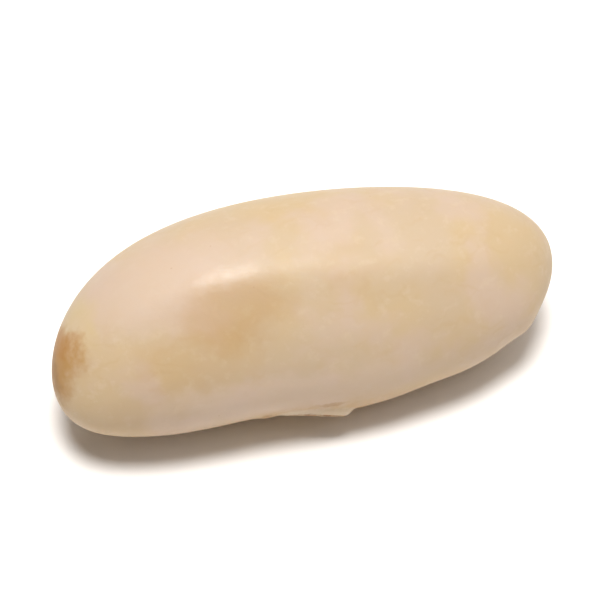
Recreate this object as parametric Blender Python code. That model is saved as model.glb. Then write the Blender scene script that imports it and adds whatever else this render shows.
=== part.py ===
# One dry cannellini bean, lying on a face with its scar side low and toward the front
# Metres, Z up, the length along X with the narrower end at +X, resting on Z = 0

import math

import bmesh
import bpy
import numpy as np

MM = 0.001

# Length from tip to tip, and how the seed is rolled about it: the back is raised, the belly lowered
LENGTH = 17.5 * MM
ROLL = math.radians(28.0)

# Half the size from belly to back, as a cubic in t: -1 at the broad tip, 1 at the narrow one
HALF_WIDTH = 3.70 * MM
HALF_WIDTH_TAPER = 0.01 * MM
HALF_WIDTH_SHOULDERS = 0.67 * MM
HALF_WIDTH_END_TAPER = -0.34 * MM

# Half the size from face to face, as the same kind of cubic
HALF_THICKNESS = 3.30 * MM
HALF_THICKNESS_TAPER = -0.04 * MM
HALF_THICKNESS_SHOULDERS = 0.50 * MM
HALF_THICKNESS_END_TAPER = -0.27 * MM

# Kidney bend of the middle line toward the back, and how far each tip hangs toward the belly
BEND = 0.56 * MM
BEND_TAPER = -0.93 * MM
BEND_SHOULDERS = 0.03 * MM
BROAD_TIP_DROP = -0.65 * MM
NARROW_TIP_DROP = 0.24 * MM

# Cross-section: a little squarer than an ellipse, and thicker toward the back than toward the belly
SQUARENESS = 0.022
EGG = 0.055

# Soft ridge along the upper face, which runs down to the narrow tip, and its match on the lower face
RIDGE_HEIGHT = 0.13 * MM
RIDGE_SPREAD = math.radians(13.0)
RIDGE_ANGLE = math.radians(13.0)
RIDGE_ANGLE_TAPER = math.radians(-14.0)
RIDGE_CENTRE_X = 1.2 * MM
RIDGE_REACH = 6.2 * MM
LOWER_RIDGE_SHARE = 0.55

# Scar on the belly: a low mound, and on it an oval with a raised collar, a sunken floor and a groove
SCAR_X = -0.30 * MM
SCAR_HALF_LENGTH = 0.92 * MM
SCAR_HALF_WIDTH = 0.46 * MM
MOUND_X = 0.38 * MM
MOUND_HALF_LENGTH = 1.35 * MM
MOUND_HALF_WIDTH = 1.00 * MM
MOUND_HEIGHT = 0.15 * MM
COLLAR_HEIGHT = 0.105 * MM
COLLAR_SPREAD = 0.30
COLLAR_LEAN = 0.75
FLOOR_DEPTH = 0.15 * MM
FLOOR_REACH = 0.72
GROOVE_DEPTH = 0.07 * MM
GROOVE_HALF_WIDTH = 0.085 * MM

# Pinhole pore past the scar's narrow-end side, and the root ridge that runs on from it
PORE_X = 1.06 * MM
PORE_RADIUS = 0.14 * MM
PORE_DEPTH = 0.09 * MM
ROOT_RIDGE_X = 2.5 * MM
ROOT_RIDGE_HALF_LENGTH = 1.3 * MM
ROOT_RIDGE_HALF_WIDTH = 0.95 * MM
ROOT_RIDGE_HEIGHT = 0.07 * MM

# Pair of low knobs past the scar's broad-end side
KNOB_X = -1.95 * MM
KNOB_APART = 0.40 * MM
KNOB_RADIUS = 0.30 * MM
KNOB_HEIGHT = 0.05 * MM

# Broad swellings and hollows: place along X, angle round the section, half length, half turn, height
BELLY_HOLLOW = (3.6 * MM, math.radians(-90), 1.2 * MM, math.radians(45), -0.08 * MM)
BROAD_BELLY_HOLLOW = (-1.8 * MM, math.radians(-90), 1.4 * MM, math.radians(45), -0.10 * MM)
BROAD_BELLY_SWELLING = (-5.1 * MM, math.radians(-90), 1.5 * MM, math.radians(45), 0.06 * MM)
END_CORNER = (7.4 * MM, math.radians(-86), 0.50 * MM, math.radians(52), 0.155 * MM)
FACE_HOLLOW = (-3.2 * MM, math.radians(-22), 1.9 * MM, math.radians(24), -0.06 * MM)
LOWER_FACE_HOLLOW = (2.4 * MM, math.radians(196), 2.6 * MM, math.radians(22), -0.06 * MM)
SWELLINGS = (
    BELLY_HOLLOW,
    BROAD_BELLY_HOLLOW,
    BROAD_BELLY_SWELLING,
    END_CORNER,
    FACE_HOLLOW,
    LOWER_FACE_HOLLOW,
)

# Flat spot it rests on, as the depth that the floor cuts off the round underside
REST_FLAT_DEPTH = 0.13 * MM

# Mesh: stations along the length and points round each, both closer together at the scar
STATIONS = 76
POINTS_ROUND = 76
SCAR_CROWDING = 3.0
SCAR_CROWDED_LENGTH = 0.115
SCAR_CROWDED_ANGLE = 0.055
WELD_DISTANCE = 0.00002 * MM

COAT_COLOUR = (0.76, 0.62, 0.42, 1.0)
COAT_ROUGHNESS = 0.42


def crowded(share, focus, half_width):
    """Share of the way along, from 0 to 1, moved so that points stand closer together about the focus."""
    places = np.linspace(0.0, 1.0, 2001)
    density = 1.0 + (SCAR_CROWDING - 1.0) * np.exp(-(((places - focus) / half_width) ** 2))
    passed = np.concatenate(([0.0], np.cumsum((density[1:] + density[:-1]) / 2.0)))
    return float(np.interp(share, passed / passed[-1], places))


def cubic(t, middle, taper, shoulders, end_taper):
    return middle + taper * t + shoulders * t * t + end_taper * t**3


def turn_between(angle, other):
    """Signed turn from one angle to another, within half a turn."""
    return math.remainder(angle - other, 2.0 * math.pi)


def swelling(x, angle, place):
    centre, towards, half_length, half_turn, height = place
    along = (x - centre) / half_length
    around = turn_between(angle, towards) / half_turn
    return height * math.exp(-along * along - around * around)


def face_ridge(x, t, angle):
    """Height of the soft ridges along the two faces."""
    reach = math.exp(-(((x - RIDGE_CENTRE_X) / RIDGE_REACH) ** 4))
    towards = RIDGE_ANGLE + RIDGE_ANGLE_TAPER * t
    upper = turn_between(angle, towards) / RIDGE_SPREAD
    lower = turn_between(angle, math.pi - towards) / RIDGE_SPREAD
    return RIDGE_HEIGHT * reach * (math.exp(-upper * upper) + LOWER_RIDGE_SHARE * math.exp(-lower * lower))


def scar_relief(x, across):
    """Height of the scar, its pore, its knobs and the root ridge, at a place along and across the belly."""
    along = x - SCAR_X
    ring = math.hypot(along / SCAR_HALF_LENGTH, across / SCAR_HALF_WIDTH)
    lean = 1.0 + COLLAR_LEAN * math.tanh(along / SCAR_HALF_LENGTH)
    mound = MOUND_HEIGHT * math.exp(
        -(((x - MOUND_X) / MOUND_HALF_LENGTH) ** 2) - (across / MOUND_HALF_WIDTH) ** 2
    )
    collar = COLLAR_HEIGHT * lean * math.exp(-(((ring - 1.0) / COLLAR_SPREAD) ** 2))
    inside = math.exp(-((ring / FLOOR_REACH) ** 4))
    groove = GROOVE_DEPTH * math.exp(-((across / GROOVE_HALF_WIDTH) ** 2))
    floor = (FLOOR_DEPTH + groove) * inside
    pore = PORE_DEPTH * math.exp(-((math.hypot(x - PORE_X, across) / PORE_RADIUS) ** 2))
    root = ROOT_RIDGE_HEIGHT * math.exp(
        -(((x - ROOT_RIDGE_X) / ROOT_RIDGE_HALF_LENGTH) ** 2) - (across / ROOT_RIDGE_HALF_WIDTH) ** 2
    )
    knobs = 0.0
    for side in (-1.0, 1.0):
        away = math.hypot(x - KNOB_X, across - side * KNOB_APART / 2.0)
        knobs += KNOB_HEIGHT * math.exp(-((away / KNOB_RADIUS) ** 2))
    return mound + collar - floor - pore + root + knobs


def bean_point(polar, angle):
    """Point on the coat: polar is 0 at the broad tip, angle is 0 on the upper face, growing to the back."""
    t = -math.cos(polar)
    girth = math.sin(polar)
    x = t * LENGTH / 2.0
    half_width = girth * cubic(t, HALF_WIDTH, HALF_WIDTH_TAPER, HALF_WIDTH_SHOULDERS, HALF_WIDTH_END_TAPER)
    half_thickness = girth * cubic(
        t, HALF_THICKNESS, HALF_THICKNESS_TAPER, HALF_THICKNESS_SHOULDERS, HALF_THICKNESS_END_TAPER
    )
    bend = girth * girth * cubic(t, BEND, BEND_TAPER, BEND_SHOULDERS, 0.0)
    hang = (BROAD_TIP_DROP + NARROW_TIP_DROP) / 2.0 + (NARROW_TIP_DROP - BROAD_TIP_DROP) / 2.0 * t
    square = 1.0 + SQUARENESS * math.sin(2.0 * angle) ** 2
    across = turn_between(angle, -math.pi / 2.0) * HALF_THICKNESS
    relief = girth * (face_ridge(x, t, angle) + scar_relief(x, across))
    relief += sum(swelling(x, angle, place) for place in SWELLINGS)
    to_back = bend + hang + (half_width * square + relief) * math.sin(angle)
    to_face = (half_thickness * square * (1.0 + EGG * math.sin(angle)) + relief) * math.cos(angle)
    y = to_back * math.cos(ROLL) - to_face * math.sin(ROLL)
    z = to_back * math.sin(ROLL) + to_face * math.cos(ROLL)
    return x, y, z


def make_material(name, colour, roughness):
    material = bpy.data.materials.new(name)
    material.use_nodes = True
    shader = material.node_tree.nodes["Principled BSDF"]
    shader.inputs["Base Color"].default_value = colour
    shader.inputs["Roughness"].default_value = roughness
    material.diffuse_color = colour
    return material


def make_bean(collection):
    solid = bmesh.new()
    bmesh.ops.create_uvsphere(solid, u_segments=POINTS_ROUND, v_segments=STATIONS, radius=1.0)
    scar_station = math.acos(-2.0 * SCAR_X / LENGTH) / math.pi
    for vert in solid.verts:
        station = math.acos(max(-1.0, min(1.0, -vert.co.z))) / math.pi
        around = (math.atan2(vert.co.y, vert.co.x) / (2.0 * math.pi)) % 1.0
        polar = math.pi * crowded(station, scar_station, SCAR_CROWDED_LENGTH)
        angle = 2.0 * math.pi * crowded(around, 0.5, SCAR_CROWDED_ANGLE) + math.pi / 2.0
        vert.co = bean_point(polar, angle)
    lowest = min(vert.co.z for vert in solid.verts)
    cut = bmesh.ops.bisect_plane(
        solid,
        geom=solid.verts[:] + solid.edges[:] + solid.faces[:],
        plane_co=(0.0, 0.0, lowest + REST_FLAT_DEPTH),
        plane_no=(0.0, 0.0, 1.0),
        clear_inner=True,
    )
    rim = [part for part in cut["geom_cut"] if isinstance(part, bmesh.types.BMEdge)]
    bmesh.ops.edgenet_fill(solid, edges=rim)
    bmesh.ops.remove_doubles(solid, verts=solid.verts[:], dist=WELD_DISTANCE)
    bmesh.ops.recalc_face_normals(solid, faces=solid.faces[:])

    middle_x = (min(vert.co.x for vert in solid.verts) + max(vert.co.x for vert in solid.verts)) / 2.0
    middle_y = (min(vert.co.y for vert in solid.verts) + max(vert.co.y for vert in solid.verts)) / 2.0
    floor_z = min(vert.co.z for vert in solid.verts)
    bmesh.ops.translate(solid, verts=solid.verts[:], vec=(-middle_x, -middle_y, -floor_z))

    mesh = bpy.data.meshes.new("bean")
    solid.to_mesh(mesh)
    solid.free()
    mesh.shade_smooth()
    bean = bpy.data.objects.new("bean", mesh)
    bean.data.materials.append(make_material("seed_coat", COAT_COLOUR, COAT_ROUGHNESS))
    collection.objects.link(bean)
    return bean


def build():
    for item in list(bpy.data.objects):
        bpy.data.objects.remove(item, do_unlink=True)
    collection = bpy.data.collections.new("cannellini_bean")
    bpy.context.scene.collection.children.link(collection)
    make_bean(collection)


build()
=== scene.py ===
# One dry cannellini bean on a pale studio floor: the seed's fine surface and coat, the lights and the camera
import math

import bpy
import numpy as np
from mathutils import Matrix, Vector


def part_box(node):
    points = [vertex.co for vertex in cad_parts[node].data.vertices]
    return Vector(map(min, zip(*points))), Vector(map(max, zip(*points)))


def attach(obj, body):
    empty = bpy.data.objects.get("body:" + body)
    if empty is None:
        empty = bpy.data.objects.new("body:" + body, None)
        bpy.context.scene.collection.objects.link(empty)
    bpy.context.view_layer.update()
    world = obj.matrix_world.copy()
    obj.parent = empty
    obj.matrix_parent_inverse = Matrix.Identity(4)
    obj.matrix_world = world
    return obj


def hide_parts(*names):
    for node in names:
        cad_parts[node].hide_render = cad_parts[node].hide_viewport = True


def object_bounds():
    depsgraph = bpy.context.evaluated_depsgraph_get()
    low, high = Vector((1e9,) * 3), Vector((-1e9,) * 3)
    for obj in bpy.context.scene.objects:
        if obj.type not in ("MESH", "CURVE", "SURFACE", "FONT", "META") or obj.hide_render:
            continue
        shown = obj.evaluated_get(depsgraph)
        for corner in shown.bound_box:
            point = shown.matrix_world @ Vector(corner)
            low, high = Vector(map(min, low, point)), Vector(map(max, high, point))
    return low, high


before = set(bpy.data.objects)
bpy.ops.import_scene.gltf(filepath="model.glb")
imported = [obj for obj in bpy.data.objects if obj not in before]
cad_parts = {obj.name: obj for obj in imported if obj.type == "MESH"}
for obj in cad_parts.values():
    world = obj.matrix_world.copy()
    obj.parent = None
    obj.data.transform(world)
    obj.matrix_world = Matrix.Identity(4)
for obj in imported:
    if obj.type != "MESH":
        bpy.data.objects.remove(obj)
cad_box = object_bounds()

MM = 0.001
QUARTER_TURN = math.pi / 2.0
FULL_TURN = 2.0 * math.pi
BELLY_ANGLE = -QUARTER_TURN

# Shape, the same values as the solid's, in metres and radians
LENGTH = 17.5 * MM
ROLL = math.radians(28.0)

# Half sizes and the bend of the middle line, as cubics in t: -1 at the broad tip, 1 at the narrow one
HALF_WIDTH = (3.70 * MM, 0.01 * MM, 0.67 * MM, -0.34 * MM)
HALF_THICKNESS = (3.30 * MM, -0.04 * MM, 0.50 * MM, -0.27 * MM)
BEND = (0.56 * MM, -0.93 * MM, 0.03 * MM, 0.0)
BROAD_TIP_DROP = -0.65 * MM
NARROW_TIP_DROP = 0.24 * MM
SQUARENESS = 0.022
EGG = 0.055

# Soft ridge along the upper face, and its match on the lower face
RIDGE_HEIGHT = 0.13 * MM
RIDGE_SPREAD = math.radians(13.0)
RIDGE_ANGLE = math.radians(13.0)
RIDGE_ANGLE_TAPER = math.radians(-14.0)
RIDGE_CENTRE_X = 1.2 * MM
RIDGE_REACH = 6.2 * MM
LOWER_RIDGE_SHARE = 0.55

# Scar on the belly: a low mound, and on it an oval with a raised collar, a sunken floor and a groove
MOUND_X = 0.38 * MM
MOUND_HALF_LENGTH = 1.35 * MM
MOUND_HALF_WIDTH = 1.00 * MM
MOUND_HEIGHT = 0.15 * MM
SCAR_X = -0.30 * MM
SCAR_HALF_LENGTH = 0.92 * MM
SCAR_HALF_WIDTH = 0.46 * MM
COLLAR_HEIGHT = 0.105 * MM
COLLAR_SPREAD = 0.30
COLLAR_LEAN = 0.75
FLOOR_DEPTH = 0.15 * MM
FLOOR_REACH = 0.72
GROOVE_DEPTH = 0.07 * MM
GROOVE_HALF_WIDTH = 0.085 * MM

# Pinhole pore past the scar's narrow-end side, and the root ridge that runs on from it
PORE_X = 1.06 * MM
PORE_RADIUS = 0.14 * MM
PORE_DEPTH = 0.09 * MM
ROOT_RIDGE_X = 2.5 * MM
ROOT_RIDGE_HALF_LENGTH = 1.3 * MM
ROOT_RIDGE_HALF_WIDTH = 0.95 * MM
ROOT_RIDGE_HEIGHT = 0.07 * MM

# Pair of low knobs past the scar's broad-end side
KNOB_X = -1.95 * MM
KNOB_APART = 0.40 * MM
KNOB_RADIUS = 0.30 * MM
KNOB_HEIGHT = 0.05 * MM
KNOB_SIDES = (-1.0, 1.0)

# Broad swellings and hollows: place along X, angle round the section, half length, half turn, height
BELLY_HOLLOW = (3.6 * MM, math.radians(-90), 1.2 * MM, math.radians(45), -0.08 * MM)
BROAD_BELLY_HOLLOW = (-1.8 * MM, math.radians(-90), 1.4 * MM, math.radians(45), -0.10 * MM)
BROAD_BELLY_SWELLING = (-5.1 * MM, math.radians(-90), 1.5 * MM, math.radians(45), 0.06 * MM)
END_CORNER = (7.4 * MM, math.radians(-86), 0.50 * MM, math.radians(52), 0.155 * MM)
FACE_HOLLOW = (-3.2 * MM, math.radians(-22), 1.9 * MM, math.radians(24), -0.06 * MM)
LOWER_FACE_HOLLOW = (2.4 * MM, math.radians(196), 2.6 * MM, math.radians(22), -0.06 * MM)
SWELLINGS = (
    BELLY_HOLLOW,
    BROAD_BELLY_HOLLOW,
    BROAD_BELLY_SWELLING,
    END_CORNER,
    FACE_HOLLOW,
    LOWER_FACE_HOLLOW,
)

# Flat spot it rests on, as the depth that the floor cuts off, and how softly its edge turns up
REST_FLAT_DEPTH = 0.13 * MM
REST_EDGE_SOFTNESS = 0.02 * MM

# Mesh: finer than the solid's, and crowded at the scar, which is halfway round from the first point
STATIONS = 330
POINTS_ROUND = 290
SCAR_CROWDING = 3.6
SCAR_CROWDED_LENGTH = 0.10
SCAR_CROWDED_ANGLE = 0.06
SCAR_SHARE_ROUND = 0.5
CROWDING_SAMPLES = 4001


def crowded(share, focus, half_width):
    """Even shares moved so that they lie closer together around the focus."""
    places = np.linspace(0.0, 1.0, CROWDING_SAMPLES)
    density = 1.0 + (SCAR_CROWDING - 1.0) * np.exp(-(((places - focus) / half_width) ** 2))
    passed = np.concatenate(([0.0], np.cumsum((density[1:] + density[:-1]) / 2.0)))
    return np.interp(share, passed / passed[-1], places)


def cubic(t, terms):
    return sum(term * t**power for power, term in enumerate(terms))


def turn_between(angle, other):
    """The turn from one angle to another, from minus half a turn to half a turn."""
    return (angle - other + math.pi) % FULL_TURN - math.pi


def bell(value):
    return np.exp(-(value**2))


def face_ridge(x, t, angle):
    reach = np.exp(-(((x - RIDGE_CENTRE_X) / RIDGE_REACH) ** 4))
    towards = RIDGE_ANGLE + RIDGE_ANGLE_TAPER * t
    upper = bell(turn_between(angle, towards) / RIDGE_SPREAD)
    lower = bell(turn_between(angle, math.pi - towards) / RIDGE_SPREAD)
    return RIDGE_HEIGHT * reach * (upper + LOWER_RIDGE_SHARE * lower)


def scar_relief(x, across):
    """Height of the scar, its pore, its knobs and the root ridge, at a place along and across the belly."""
    along = x - SCAR_X
    ring = np.hypot(along / SCAR_HALF_LENGTH, across / SCAR_HALF_WIDTH)
    lean = 1.0 + COLLAR_LEAN * np.tanh(along / SCAR_HALF_LENGTH)
    mound = MOUND_HEIGHT * bell((x - MOUND_X) / MOUND_HALF_LENGTH) * bell(across / MOUND_HALF_WIDTH)
    collar = COLLAR_HEIGHT * lean * bell((ring - 1.0) / COLLAR_SPREAD)
    inside = np.exp(-((ring / FLOOR_REACH) ** 4))
    floor = (FLOOR_DEPTH + GROOVE_DEPTH * bell(across / GROOVE_HALF_WIDTH)) * inside
    pore = PORE_DEPTH * bell(np.hypot(x - PORE_X, across) / PORE_RADIUS)
    root_along = bell((x - ROOT_RIDGE_X) / ROOT_RIDGE_HALF_LENGTH)
    root = ROOT_RIDGE_HEIGHT * root_along * bell(across / ROOT_RIDGE_HALF_WIDTH)
    knobs = sum(
        KNOB_HEIGHT * bell(np.hypot(x - KNOB_X, across - side * KNOB_APART / 2.0) / KNOB_RADIUS)
        for side in KNOB_SIDES
    )
    return mound + collar - floor - pore + root + knobs


def bean_points(polar, angle):
    """Points on the coat in metres, on the rolled seed, before it is set down on its flat spot."""
    t = -np.cos(polar)
    girth = np.sin(polar)
    x = t * LENGTH / 2.0
    half_width = girth * cubic(t, HALF_WIDTH)
    half_thickness = girth * cubic(t, HALF_THICKNESS)
    bend = girth**2 * cubic(t, BEND)
    hang = (BROAD_TIP_DROP + NARROW_TIP_DROP) / 2.0 + (NARROW_TIP_DROP - BROAD_TIP_DROP) / 2.0 * t
    square = 1.0 + SQUARENESS * np.sin(2.0 * angle) ** 2
    across = turn_between(angle, BELLY_ANGLE) * HALF_THICKNESS[0]
    relief = girth * (face_ridge(x, t, angle) + scar_relief(x, across))
    for centre, towards, half_length, half_turn, height in SWELLINGS:
        round_it = bell(turn_between(angle, towards) / half_turn)
        relief = relief + height * bell((x - centre) / half_length) * round_it
    to_back = bend + hang + (half_width * square + relief) * np.sin(angle)
    to_face = (half_thickness * square * (1.0 + EGG * np.sin(angle)) + relief) * np.cos(angle)
    y = to_back * math.cos(ROLL) - to_face * math.sin(ROLL)
    z = to_back * math.sin(ROLL) + to_face * math.cos(ROLL)
    return np.stack([x, y, z], axis=-1)


def bean_skin():
    """All points of the skin: the rings from the broad end to the narrow end, then the two tips."""
    scar_station = math.acos(-2.0 * SCAR_X / LENGTH) / math.pi
    even_stations = np.arange(1, STATIONS) / STATIONS
    stations = math.pi * crowded(even_stations, scar_station, SCAR_CROWDED_LENGTH)
    even_turns = np.arange(POINTS_ROUND) / POINTS_ROUND
    turns = crowded(even_turns, SCAR_SHARE_ROUND, SCAR_CROWDED_ANGLE)
    angles = FULL_TURN * turns + QUARTER_TURN
    polar, angle = np.meshgrid(stations, angles, indexing="ij")
    rings = bean_points(polar, angle).reshape(-1, 3)
    tips = bean_points(np.array([0.0, math.pi]), np.array([0.0, 0.0]))
    return np.concatenate([rings, tips])


def bean_faces():
    """Quads between the rings, and a fan of triangles at each tip."""
    rings = STATIONS - 1
    rows = np.arange(rings - 1)[:, None] * POINTS_ROUND
    here = np.arange(POINTS_ROUND)[None, :]
    after = (here + 1) % POINTS_ROUND
    corners = [rows + here, rows + POINTS_ROUND + here, rows + POINTS_ROUND + after, rows + after]
    faces = np.stack(corners, axis=-1).reshape(-1, 4).tolist()
    broad_tip = rings * POINTS_ROUND
    narrow_tip = broad_tip + 1
    last = (rings - 1) * POINTS_ROUND
    for place in range(POINTS_ROUND):
        following = (place + 1) % POINTS_ROUND
        faces.append([broad_tip, place, following])
        faces.append([narrow_tip, last + following, last + place])
    return faces


def make_bean(box):
    """The seed's skin, set down on its flat spot and fitted to the solid's box, and where its axis lies."""
    points = bean_skin()
    floor_z = points[:, 2].min() + REST_FLAT_DEPTH
    above = points[:, 2] - floor_z
    points[:, 2] = (above + np.sqrt(above**2 + REST_EDGE_SOFTNESS**2)) / 2.0
    low, high = np.array(box[0]), np.array(box[1])
    start, span = points.min(axis=0), points.max(axis=0) - points.min(axis=0)
    points = low + (points - start) * (high - low) / span
    axis_place = low - start * (high - low) / span
    axis_place[2] = low[2] - floor_z

    mesh = bpy.data.meshes.new("bean_coat")
    mesh.from_pydata(points.tolist(), [], bean_faces())
    mesh.update()
    mesh.shade_smooth()
    coat = bpy.data.objects.new("bean_coat", mesh)
    bpy.context.scene.collection.objects.link(coat)
    return coat, axis_place


# Materials
LOW_SCREEN_VALUE = 10.0


def srgb(red, green, blue):
    """Linear colour of a screen colour given from 0 to 255."""
    return tuple(
        (value / 255.0 / 12.92) if value <= LOW_SCREEN_VALUE else ((value / 255.0 + 0.055) / 1.055) ** 2.4
        for value in (red, green, blue)
    )


CREAM = srgb(187, 165, 137)
CREAM_YELLOW = srgb(189, 165, 130)
CREAM_ROSE = srgb(192, 169, 150)
CREAM_PALE = srgb(199, 180, 153)
# Pale rose of the painted light bounced up from the floor onto the low front flank
PAINTED_BOUNCE_ROSE = srgb(200, 178, 159)
OCHRE = srgb(173, 135, 80)
STRAW = srgb(194, 173, 124)
AMBER = srgb(160, 113, 26)
TAWNY = srgb(160, 98, 20)
BROWN = srgb(138, 84, 30)
UMBER = srgb(134, 94, 44)
RUST = srgb(132, 82, 44)
HAZEL = srgb(152, 112, 62)
DARK_BROWN = srgb(66, 38, 20)
SCAR_PALE = srgb(207, 192, 169)
SCAR_GREY = srgb(176, 154, 128)

# How far the slow and the fine wandering shift the marks, in millimetres
WANDER_NOISE = (0.9, 3.0)
FINE_WANDER_NOISE = (5.0, 2.0)
NOISE_MIDDLE = (0.5, 0.5, 0.5)
WANDER_REACH = 1.6
FINE_WANDER_REACH = 0.32
LOOSE_WANDER_REACH = 1.5

# Ground colour. Each noise is its scale a millimetre, octaves and roughness, and each pair of edges
# the values of it between which a mark fades in
CLOUD_NOISE = (0.32, 2.0)
CLOUD_EDGES = (0.36, 0.64)
ROSE_CLOUD_SHIFT = (13.0, 5.0, 9.0)
ROSE_CLOUD_NOISE = (0.45, 3.0)
ROSE_CLOUD_EDGES = (0.45, 0.68)
ROSE_CLOUD_SHARE = 0.75
FLECK_NOISE = (2.3, 4.0, 0.6)
FLECK_EDGES = (0.52, 0.72)
FLECK_SHARE = 0.35
VEIN_STRETCH = (0.42, 1.0, 1.0)
VEIN_CELLS = 1.15
VEIN_EDGES = (0.13, 0.0)
VEIN_BREAK_NOISE = (0.8, 2.0)
VEIN_BREAK_EDGES = (0.42, 0.66)
VEIN_SHARE = 0.10
SPECK_CELLS = 1.9
SPECK_EDGES = (0.075, 0.03)
SPECK_RARITY_NOISE = (1.1, 1.0)
SPECK_RARITY_EDGES = (0.56, 0.62)
SPECK_SHARE = 0.28

# Blots, in millimetres on the seed: centre along it, toward the back and toward the upper face, the half
# sizes in the same order, the tint and its share. All are the coat's own colour except the pale rosy band
# low on the front flank, which is painted bounce light from the floor
BLOT_SOFTNESS = 0.5
COAT_BLOTS_AND_PAINTED_BOUNCE = {
    "rosy blot": ((-4.6, 1.9, 2.4), (2.9, 1.5, 2.6), CREAM_ROSE, 0.74),
    "ochre tail": ((-4.2, -0.9, 3.0), (2.2, 1.0, 2.0), OCHRE, 0.20),
    "ochre blot": ((-2.45, 0.42, 3.0), (1.65, 1.2, 1.6), OCHRE, 0.44),
    "tinge on the face": ((1.5, 1.1, 3.1), (1.3, 0.9, 1.6), OCHRE, 0.11),
    "tinge by the broad end": ((-4.6, 0.9, 2.9), (1.2, 0.8, 1.5), OCHRE, 0.07),
    "low brown blot": ((-5.4, -2.5, 2.0), (2.4, 0.9, 2.4), BROWN, 0.08),
    "halo of the broad tip": ((-7.80, 1.15, 1.5), (0.70, 1.1, 1.2), STRAW, 0.40),
    "halo of the belly": ((-0.1, -3.6, 0.0), (2.9, 1.6, 2.1), OCHRE, 0.26),
    "underside": ((0.0, -1.0, -3.4), (8.5, 4.5, 2.7), OCHRE, 0.50),
    # Painted bounce light: a paler rosy band low on the front flank, standing in for light thrown up from
    # the floor
    "painted floor bounce on the low flank": ((-1.5, -3.0, 2.0), (6.5, 0.9, 1.3), PAINTED_BOUNCE_ROSE, 0.60),
}
TIP_BLOT_SOFTNESS = 0.4
# Broad tip: an amber blot with a tawny core, and at its very end a brown blot that is partly painted shade
TIP_BLOTS_AND_PAINTED_SHADE = {
    "blot": ((-8.56, 0.25, 0.86), (0.91, 1.24, 1.86), AMBER, 0.80),
    "core": ((-8.15, 0.75, 1.30), (0.50, 0.60, 0.90), TAWNY, 0.34),
    # Partly a real brown stain on the tip, partly painted shade darkening the edge of the tip
    "shade": ((-8.78, 0.25, 0.25), (0.36, 1.1, 0.95), UMBER, 0.50),
}

# Colour at the scar. Edges are in rings: 1 is the collar's crest, 0 the middle of the scar
BELLY_EDGES = (-2.2, -2.9)
SCAR_CENTRE = (SCAR_X / MM, 0.0, 0.0)
SCAR_HALF_SIZES = (SCAR_HALF_LENGTH / MM, 1.0, SCAR_HALF_WIDTH / MM)
ALONG_BELLY = (1.0, 0.0, 1.0)
FRAY_NOISE = (6.0, 4.0, 0.65)
FRAY_MIDDLE = 0.5
FRAY_REACH = 0.34
SCAR_FLOOR_EDGES = (0.98, 0.80)
SCAR_FLOOR_SHARE = 0.75
SPONGE_NOISE = (11.0, 3.0, 0.7)
SPONGE_EDGES = (0.42, 0.66)
UNEVEN_NOISE = (2.6, 3.0)
UNEVEN_EDGES = (0.36, 0.62)
UNEVEN_SHARES = (0.25, 1.0)
SCAR_LINE_INNER_EDGES = (0.72, 0.90)
SCAR_LINE_OUTER_EDGES = (1.08, 0.94)
SCAR_LINE_SHARE = 0.70
LIP_INNER_EDGES = (0.95, 1.12)
LIP_OUTER_EDGES = (1.75, 1.15)
LIP_SHARE = 0.60
SCAR_STAIN_INNER_EDGES = (1.35, 1.62)
SCAR_STAIN_OUTER_EDGES = (2.5, 1.7)
SCAR_STAIN_SHARE = 0.30
LIP_MARK = ((0.14, -3.25, 0.94), (0.46, 1.0, 0.11))
LIP_MARK_SOFTNESS = 0.6
LIP_MARK_SHARE = 0.48
SLIT_NOISE = (4.0, 2.0)
SLIT_NOISE_EDGES = (0.35, 0.65)
SLIT_HALF_WIDTHS = (0.035, 0.075)
SLIT_CORE = 0.015
SLIT_END_EDGES = (0.92, 0.60)
SLIT_SHARE = 0.65

# Colour of the pore and the knobs, with edges in millimetres from their middles
PORE_PLACE = (PORE_X / MM, 0.0, 0.0)
PORE_HALO_EDGES = (0.42, 0.12)
PORE_HALO_SHARE = 0.35
PORE_EDGES = (0.12, 0.04)
PORE_SHARE = 0.85
KNOB_EDGES = (0.34, 0.12)
KNOB_SHARE = 0.42

# Waxy gloss: roughness over the coat, how much the polished spot takes off it and the scar adds to it
GLOSS_NOISE = (1.4, 4.0, 0.6)
GLOSS_EDGES = (0.3, 0.7)
ROUGHNESS_RANGE = (0.49, 0.57)
POLISHED_SPOT = ((-2.65, 1.64, 3.2), (1.05, 0.5, 0.7))
POLISHED_SPOT_SOFTNESS = 0.5
POLISH = 0.11
SCAR_DULLNESS = 0.3
SPECULAR_LEVEL = 0.35
SUBSURFACE_SHARE = 0.22
SUBSURFACE_RADIUS = (1.0, 0.62, 0.36)
SUBSURFACE_SCALE = 0.45 * MM

# Fine relief: noises and their depths
WRINKLE_STRETCH = (0.35, 1.0, 1.0)
WRINKLE_NOISE = (1.3, 2.0, 0.45)
WRINKLE_DEPTH = 0.014 * MM
DIMPLE_NOISE = (4.5, 3.0, 0.5)
DIMPLE_DEPTH = 0.0035 * MM
GRAIN_NOISE = (21.0, 2.0, 0.5)
GRAIN_DEPTH = 0.0010 * MM
BRUSHED_STRETCH = (0.13, 1.0, 1.0)
BRUSHED_NOISE = (7.0, 3.0, 0.6)
BRUSHED_DEPTH = 0.0030 * MM
RAYS_ROUND_SCAR = 23.0
RAY_FRAY = 9.0
RAY_INNER_EDGES = (0.95, 1.2)
RAY_OUTER_EDGES = (2.6, 1.5)
RAY_DEPTH = 0.0045 * MM
SCAR_FLOOR_NOISE = (12.0, 4.0, 0.7)
SCAR_FLOOR_GRAIN_DEPTH = 0.028 * MM

# Parts of a place on the seed
ALONG = 0
TO_BACK = 1
TO_FACE = 2

# A Mix node's colour sockets, which share their names with its other sockets
MIX_FIRST_COLOUR = 6
MIX_SECOND_COLOUR = 7
MIX_RESULT_COLOUR = 2


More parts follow.
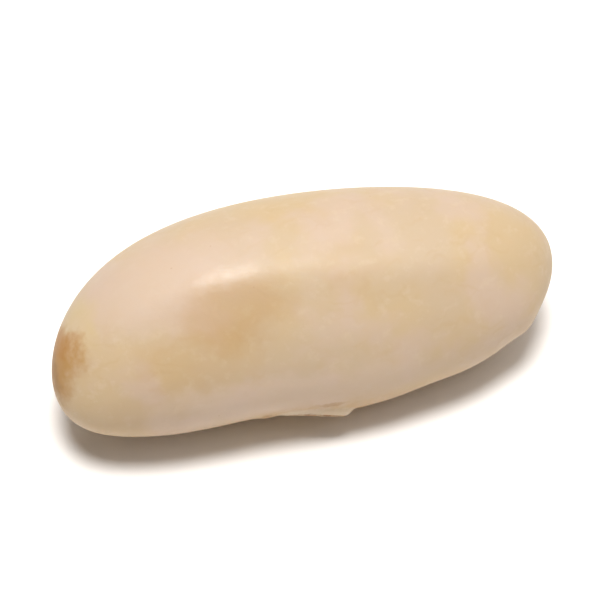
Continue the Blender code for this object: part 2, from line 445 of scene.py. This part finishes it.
class Graph:
    """Short names for making the nodes of one material."""

    def __init__(self, name):
        self.material = bpy.data.materials.new(name)
        self.material.use_nodes = True
        self.tree = self.material.node_tree
        self.shader = self.tree.nodes["Principled BSDF"]

    def put(self, socket, value):
        if isinstance(value, bpy.types.NodeSocket):
            self.tree.links.new(value, socket)
        else:
            socket.default_value = value

    def vector(self, operation, first, second):
        node = self.tree.nodes.new("ShaderNodeVectorMath")
        node.operation = operation
        self.put(node.inputs[0], first)
        self.put(node.inputs[1], second)
        return node.outputs["Vector"]

    def scaled(self, place, scale):
        node = self.tree.nodes.new("ShaderNodeVectorMath")
        node.operation = "SCALE"
        self.put(node.inputs[0], place)
        node.inputs["Scale"].default_value = scale
        return node.outputs["Vector"]

    def length(self, place):
        node = self.tree.nodes.new("ShaderNodeVectorMath")
        node.operation = "LENGTH"
        self.put(node.inputs[0], place)
        return node.outputs["Value"]

    def part(self, place, axis):
        node = self.tree.nodes.new("ShaderNodeSeparateXYZ")
        self.put(node.inputs[0], place)
        return node.outputs[axis]

    def number(self, operation, first, second=0.0, clamp=False):
        node = self.tree.nodes.new("ShaderNodeMath")
        node.operation = operation
        node.use_clamp = clamp
        self.put(node.inputs[0], first)
        self.put(node.inputs[1], second)
        return node.outputs[0]

    def product(self, first, *others):
        for other in others:
            first = self.number("MULTIPLY", first, other)
        return first

    def step(self, value, edges, heights=(0.0, 1.0)):
        """Smooth step of a value, from the first height at the first edge to the second at the second."""
        node = self.tree.nodes.new("ShaderNodeMapRange")
        node.interpolation_type = "SMOOTHSTEP"
        self.put(node.inputs["Value"], value)
        self.put(node.inputs["From Min"], edges[0])
        self.put(node.inputs["From Max"], edges[1])
        self.put(node.inputs["To Min"], heights[0])
        self.put(node.inputs["To Max"], heights[1])
        return node.outputs["Result"]

    def noise(self, place, scale, detail, roughness=0.5, output="Fac"):
        node = self.tree.nodes.new("ShaderNodeTexNoise")
        self.put(node.inputs["Vector"], place)
        node.inputs["Scale"].default_value = scale
        node.inputs["Detail"].default_value = detail
        node.inputs["Roughness"].default_value = roughness
        return node.outputs[output]

    def cells(self, place, scale, feature):
        node = self.tree.nodes.new("ShaderNodeTexVoronoi")
        node.feature = feature
        self.put(node.inputs["Vector"], place)
        node.inputs["Scale"].default_value = scale
        return node.outputs["Distance"]

    def mix(self, share, first, second):
        node = self.tree.nodes.new("ShaderNodeMix")
        node.data_type = "RGBA"
        self.put(node.inputs["Factor"], share)
        for socket, value in ((MIX_FIRST_COLOUR, first), (MIX_SECOND_COLOUR, second)):
            given = value if isinstance(value, bpy.types.NodeSocket) else (*value, 1.0)
            self.put(node.inputs[socket], given)
        return node.outputs[MIX_RESULT_COLOUR]

    def tinted(self, colour, mask, share, tint):
        """A colour with a share of a tint where the mask is 1."""
        return self.mix(self.product(mask, share), colour, tint)

    def oval(self, place, centre, half_sizes, soft):
        """1 inside an oval blot, fading to 0 outside it."""
        away = self.vector("DIVIDE", self.vector("SUBTRACT", place, centre), half_sizes)
        return self.step(self.length(away), (1.0 + soft, 1.0 - soft))

    def from_belly_point(self, place, centre):
        """The way from a point of the belly, along and across it."""
        return self.vector("MULTIPLY", self.vector("SUBTRACT", place, centre), ALONG_BELLY)

    def bump(self, height, depth, under=None):
        node = self.tree.nodes.new("ShaderNodeBump")
        self.put(node.inputs["Height"], height)
        node.inputs["Distance"].default_value = depth
        node.inputs["Strength"].default_value = 1.0
        if under is not None:
            self.put(node.inputs["Normal"], under)
        return node.outputs["Normal"]


class SeedPlaces:
    """Places on the unrolled seed in millimetres: exact, and wandering so that no mark has a drawn edge."""

    def __init__(self, graph, axis_place):
        coordinates = graph.tree.nodes.new("ShaderNodeTexCoord").outputs["Object"]
        turned = graph.tree.nodes.new("ShaderNodeVectorRotate")
        turned.rotation_type = "X_AXIS"
        graph.put(turned.inputs["Vector"], graph.vector("SUBTRACT", coordinates, tuple(axis_place)))
        turned.inputs["Angle"].default_value = -ROLL
        self.exact = graph.scaled(turned.outputs["Vector"], 1.0 / MM)

        slow_noise = graph.noise(self.exact, *WANDER_NOISE, output="Color")
        slow = graph.vector("SUBTRACT", slow_noise, NOISE_MIDDLE)
        fine_noise = graph.noise(self.exact, *FINE_WANDER_NOISE, output="Color")
        fine = graph.vector("SUBTRACT", fine_noise, NOISE_MIDDLE)
        self.slowly = graph.vector("ADD", self.exact, graph.scaled(slow, WANDER_REACH))
        self.finely = graph.vector("ADD", self.exact, graph.scaled(fine, FINE_WANDER_REACH))
        self.loosely = graph.vector("ADD", self.finely, graph.scaled(slow, LOOSE_WANDER_REACH))


class ScarMasks:
    """Where a point is at the scar, as numbers from 0 to 1, and as rings round its middle."""

    def __init__(self, graph, at):
        self.belly = graph.step(graph.part(at.exact, TO_BACK), BELLY_EDGES)
        self.across = graph.from_belly_point(at.exact, SCAR_CENTRE)
        self.ring = graph.length(graph.vector("DIVIDE", self.across, SCAR_HALF_SIZES))
        self.frayed = graph.number("SUBTRACT", graph.noise(at.exact, *FRAY_NOISE), FRAY_MIDDLE)
        self.ragged_ring = graph.number("ADD", self.ring, graph.product(self.frayed, FRAY_REACH))
        self.inside = graph.product(graph.step(self.ragged_ring, SCAR_FLOOR_EDGES), self.belly)

    def band(self, graph, inner_edges, outer_edges):
        """1 between two ragged rings."""
        inner = graph.step(self.ragged_ring, inner_edges)
        return graph.product(inner, graph.step(self.ragged_ring, outer_edges))


def ground_colour(graph, at):
    """Broad yellow and rosy clouds, paler flecks, and faint lengthwise veins under the coat."""
    cloud = graph.step(graph.noise(at.exact, *CLOUD_NOISE), CLOUD_EDGES)
    colour = graph.mix(cloud, CREAM, CREAM_YELLOW)
    elsewhere = graph.vector("ADD", at.exact, ROSE_CLOUD_SHIFT)
    rose = graph.step(graph.noise(elsewhere, *ROSE_CLOUD_NOISE), ROSE_CLOUD_EDGES)
    colour = graph.tinted(colour, rose, ROSE_CLOUD_SHARE, CREAM_ROSE)
    fleck = graph.step(graph.noise(at.exact, *FLECK_NOISE), FLECK_EDGES)
    colour = graph.tinted(colour, fleck, FLECK_SHARE, CREAM_PALE)

    stretched = graph.vector("MULTIPLY", at.slowly, VEIN_STRETCH)
    vein = graph.step(graph.cells(stretched, VEIN_CELLS, "DISTANCE_TO_EDGE"), VEIN_EDGES)
    kept = graph.step(graph.noise(at.exact, *VEIN_BREAK_NOISE), VEIN_BREAK_EDGES)
    return graph.tinted(colour, graph.product(vein, kept), VEIN_SHARE, OCHRE)


# Tints the colour with each blot in turn: the coat's own blots, and painted bounce light and shade
def blotted(graph, colour, place, blots, soft):
    for centre, half_sizes, tint, share in blots.values():
        colour = graph.tinted(colour, graph.oval(place, centre, half_sizes, soft), share, tint)
    return colour


def specked(graph, colour, at):
    """Tiny brown dots, few and far between."""
    speck = graph.step(graph.cells(at.exact, SPECK_CELLS, "F1"), SPECK_EDGES)
    kept = graph.step(graph.noise(at.exact, *SPECK_RARITY_NOISE), SPECK_RARITY_EDGES)
    return graph.tinted(colour, graph.product(speck, kept), SPECK_SHARE, BROWN)


def scar_coloured(graph, colour, at, scar):
    """Spongy floor with a brown slit, a brown line inside the pale lip, a stain round it, a mark on it."""
    uneven = graph.step(graph.noise(at.exact, *UNEVEN_NOISE), UNEVEN_EDGES, UNEVEN_SHARES)
    stain = scar.band(graph, SCAR_STAIN_INNER_EDGES, SCAR_STAIN_OUTER_EDGES)
    colour = graph.tinted(colour, graph.product(stain, uneven, scar.belly), SCAR_STAIN_SHARE, OCHRE)
    lip = scar.band(graph, LIP_INNER_EDGES, LIP_OUTER_EDGES)
    colour = graph.tinted(colour, graph.product(lip, scar.belly), LIP_SHARE, SCAR_PALE)
    sponge = graph.mix(graph.step(graph.noise(at.exact, *SPONGE_NOISE), SPONGE_EDGES), SCAR_PALE, SCAR_GREY)
    colour = graph.tinted(colour, scar.inside, SCAR_FLOOR_SHARE, sponge)
    line = scar.band(graph, SCAR_LINE_INNER_EDGES, SCAR_LINE_OUTER_EDGES)
    colour = graph.tinted(colour, graph.product(line, uneven, scar.belly), SCAR_LINE_SHARE, RUST)
    colour = graph.tinted(colour, graph.oval(at.finely, *LIP_MARK, LIP_MARK_SOFTNESS), LIP_MARK_SHARE, HAZEL)

    slit_width = graph.step(graph.noise(at.exact, *SLIT_NOISE), SLIT_NOISE_EDGES, SLIT_HALF_WIDTHS)
    slit = graph.step(graph.number("ABSOLUTE", graph.part(at.exact, TO_FACE)), (slit_width, SLIT_CORE))
    slit = graph.product(slit, graph.step(scar.ring, SLIT_END_EDGES), scar.belly)
    return graph.tinted(colour, slit, SLIT_SHARE, DARK_BROWN)


def pore_and_knobs_coloured(graph, colour, at, scar):
    away = graph.length(graph.from_belly_point(at.exact, PORE_PLACE))
    halo = graph.product(graph.step(away, PORE_HALO_EDGES), scar.belly)
    colour = graph.tinted(colour, halo, PORE_HALO_SHARE, OCHRE)
    pore = graph.product(graph.step(away, PORE_EDGES), scar.belly)
    colour = graph.tinted(colour, pore, PORE_SHARE, DARK_BROWN)
    for side in KNOB_SIDES:
        knob_place = (KNOB_X / MM, 0.0, side * KNOB_APART / MM / 2.0)
        away = graph.length(graph.from_belly_point(at.finely, knob_place))
        knob = graph.product(graph.step(away, KNOB_EDGES), scar.belly)
        colour = graph.tinted(colour, knob, KNOB_SHARE, HAZEL)
    return colour


def waxy_roughness(graph, at, scar):
    """Uneven gloss with one polished spot, duller in the scar."""
    rough = graph.step(graph.noise(at.exact, *GLOSS_NOISE), GLOSS_EDGES, ROUGHNESS_RANGE)
    polished = graph.oval(at.finely, *POLISHED_SPOT, POLISHED_SPOT_SOFTNESS)
    rough = graph.number("SUBTRACT", rough, graph.product(polished, POLISH))
    return graph.number("ADD", rough, graph.product(scar.inside, SCAR_DULLNESS), clamp=True)


def fine_relief(graph, at, scar):
    """Lengthwise wrinkles, dimples, grain and brushed lines, rays round the scar and its spongy floor."""
    combed = graph.vector("MULTIPLY", at.slowly, WRINKLE_STRETCH)
    normal = graph.bump(graph.noise(combed, *WRINKLE_NOISE), WRINKLE_DEPTH)
    normal = graph.bump(graph.noise(at.exact, *DIMPLE_NOISE), DIMPLE_DEPTH, under=normal)
    normal = graph.bump(graph.noise(at.exact, *GRAIN_NOISE), GRAIN_DEPTH, under=normal)
    brushed = graph.vector("MULTIPLY", at.finely, BRUSHED_STRETCH)
    normal = graph.bump(graph.noise(brushed, *BRUSHED_NOISE), BRUSHED_DEPTH, under=normal)

    to_face = graph.number("DIVIDE", graph.part(scar.across, TO_FACE), SCAR_HALF_SIZES[TO_FACE])
    along = graph.number("DIVIDE", graph.part(scar.across, ALONG), SCAR_HALF_SIZES[ALONG])
    turns = graph.product(graph.number("ARCTAN2", to_face, along), RAYS_ROUND_SCAR)
    rays = graph.number("SINE", graph.number("ADD", turns, graph.product(scar.frayed, RAY_FRAY)))
    past_collar = graph.step(scar.ring, RAY_INNER_EDGES)
    near = graph.product(past_collar, graph.step(scar.ring, RAY_OUTER_EDGES), scar.belly)
    normal = graph.bump(graph.product(rays, near), RAY_DEPTH, under=normal)
    sponge = graph.product(graph.noise(at.exact, *SCAR_FLOOR_NOISE), scar.inside)
    return graph.bump(sponge, SCAR_FLOOR_GRAIN_DEPTH, under=normal)


def seed_coat(axis_place):
    graph = Graph("seed_coat")
    at = SeedPlaces(graph, axis_place)
    scar = ScarMasks(graph, at)
    colour = ground_colour(graph, at)
    colour = blotted(graph, colour, at.slowly, COAT_BLOTS_AND_PAINTED_BOUNCE, BLOT_SOFTNESS)
    colour = blotted(graph, colour, at.loosely, TIP_BLOTS_AND_PAINTED_SHADE, TIP_BLOT_SOFTNESS)
    colour = specked(graph, colour, at)
    colour = scar_coloured(graph, colour, at, scar)
    colour = pore_and_knobs_coloured(graph, colour, at, scar)
    graph.put(graph.shader.inputs["Base Color"], colour)
    graph.put(graph.shader.inputs["Roughness"], waxy_roughness(graph, at, scar))
    graph.put(graph.shader.inputs["Normal"], fine_relief(graph, at, scar))
    graph.shader.inputs["Specular IOR Level"].default_value = SPECULAR_LEVEL
    graph.shader.inputs["Subsurface Weight"].default_value = SUBSURFACE_SHARE
    graph.shader.inputs["Subsurface Radius"].default_value = SUBSURFACE_RADIUS
    graph.shader.inputs["Subsurface Scale"].default_value = SUBSURFACE_SCALE
    return graph.material


def plain(name, colour, roughness):
    graph = Graph(name)
    graph.shader.inputs["Base Color"].default_value = (*colour, 1.0)
    graph.shader.inputs["Roughness"].default_value = roughness
    return graph.material


bean, axis_place = make_bean(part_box("bean"))
bean.data.materials.append(seed_coat(axis_place))
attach(bean, "root")
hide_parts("bean")

# Floor and light
FLOOR_SIZE = 3.0
FLOOR_COLOUR = (0.93, 0.90, 0.87)
FLOOR_ROUGHNESS = 0.85
SKY_COLOUR = (1.0, 0.93, 0.86)
SKY_STRENGTH = 0.18

# Soft lamps: name, place in metres, width and depth in metres, power in watts
LAMPS = (
    ("key", (0.0, 0.030, 0.94), 0.42, 0.34, 11.0),
    ("side", (0.38, -0.03, 0.87), 0.95, 0.95, 2.2),
    ("back", (-0.02, 0.60, 0.74), 0.40, 0.40, 0.9),
)


def soft_light(name, place, width, depth, power):
    """An oval lamp that shines at the bean."""
    lamp = bpy.data.lights.new(name, "AREA")
    lamp.shape = "ELLIPSE"
    lamp.size = width
    lamp.size_y = depth
    lamp.energy = power
    holder = bpy.data.objects.new(name, lamp)
    holder.location = place
    holder.rotation_euler = (-Vector(place)).to_track_quat("-Z", "Y").to_euler()
    bpy.context.scene.collection.objects.link(holder)


bpy.ops.mesh.primitive_plane_add(size=FLOOR_SIZE, location=(0.0, 0.0, 0.0))
floor = bpy.context.object
floor.name = "floor"
floor.data.materials.append(plain("floor_white", FLOOR_COLOUR, FLOOR_ROUGHNESS))

world = bpy.data.worlds.new("studio")
world.use_nodes = True
world.node_tree.nodes["Background"].inputs["Color"].default_value = (*SKY_COLOUR, 1.0)
world.node_tree.nodes["Background"].inputs["Strength"].default_value = SKY_STRENGTH
bpy.context.scene.world = world

for lamp_values in LAMPS:
    soft_light(*lamp_values)

# Camera: long lens, the whole frame as wide as FRAME_WIDTH at the bean
VIEW_AZIMUTH = math.radians(-14.7)
VIEW_ELEVATION = math.radians(58.0)
LENS = 300.0
SENSOR = 36.0
FRAME_WIDTH = 20.2 * MM
CLIP_START = 0.005
CLIP_END = 10.0

middle = (Vector(cad_box[0]) + Vector(cad_box[1])) / 2.0
toward = Vector(
    (
        math.sin(VIEW_AZIMUTH) * math.cos(VIEW_ELEVATION),
        -math.cos(VIEW_AZIMUTH) * math.cos(VIEW_ELEVATION),
        math.sin(VIEW_ELEVATION),
    )
)
camera = bpy.data.objects.new("camera", bpy.data.cameras.new("camera"))
camera.data.lens = LENS
camera.data.sensor_width = SENSOR
camera.data.clip_start = CLIP_START
camera.data.clip_end = CLIP_END
camera.location = middle + toward * (FRAME_WIDTH * LENS / SENSOR)
camera.rotation_euler = toward.to_track_quat("Z", "Y").to_euler()
bpy.context.scene.collection.objects.link(camera)
bpy.context.scene.camera = camera
bpy.context.scene.view_settings.view_transform = "Standard"
